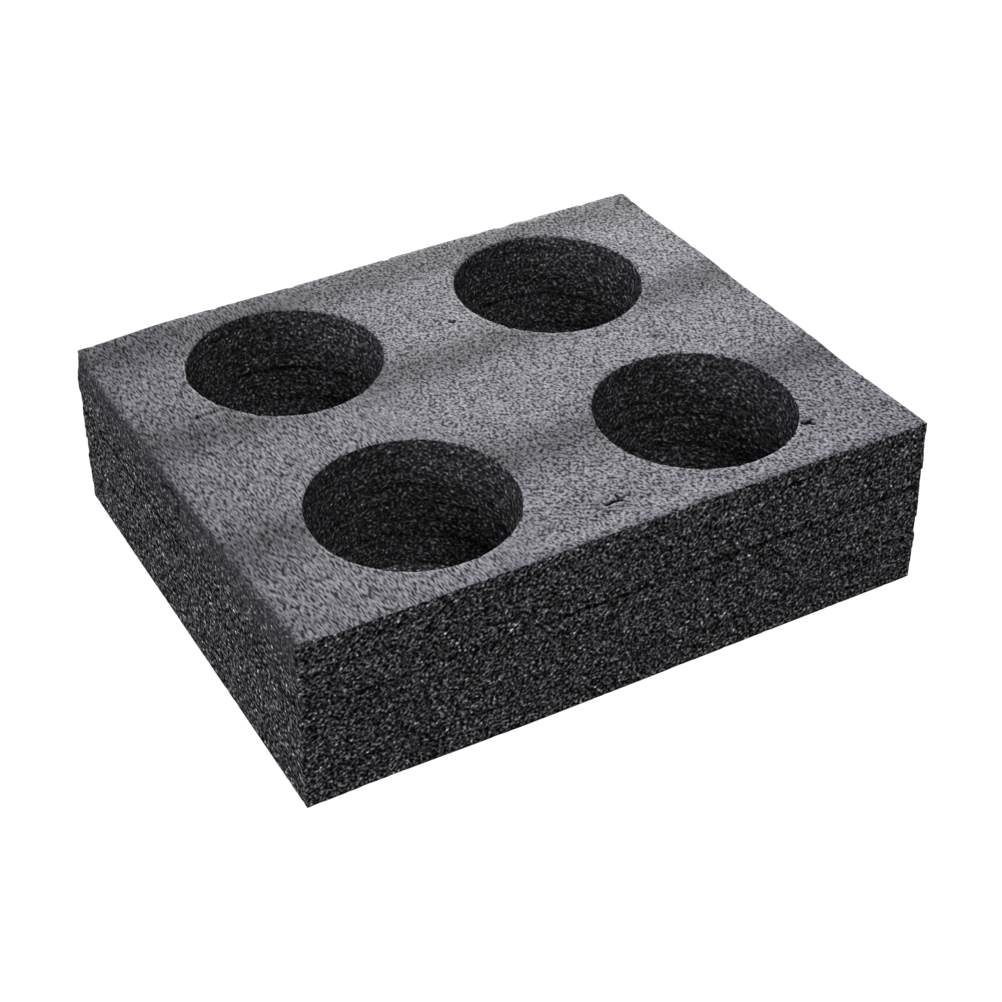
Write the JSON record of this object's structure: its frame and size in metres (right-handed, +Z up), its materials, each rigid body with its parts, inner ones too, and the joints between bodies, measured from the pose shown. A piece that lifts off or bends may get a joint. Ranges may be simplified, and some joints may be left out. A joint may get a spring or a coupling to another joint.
{
  "type": "foam cup carrier tray",
  "caption": "Dark grey foam block with round blind pockets in its gently rolling top skin that hold takeaway cups upright.",
  "frame": {"origin": "middle of the underside", "axes": "+Z up out of the pockets, +X along the long side, -Y towards the long side that is seen from the front"},
  "size_m": [0.25, 0.202, 0.07],
  "materials": {
    "foam": "matte closed-cell foam, with a smoother and paler melted skin on top"
  },
  "bodies": {
    "root": {"tray": "foam"}
  },
  "joints": []
}
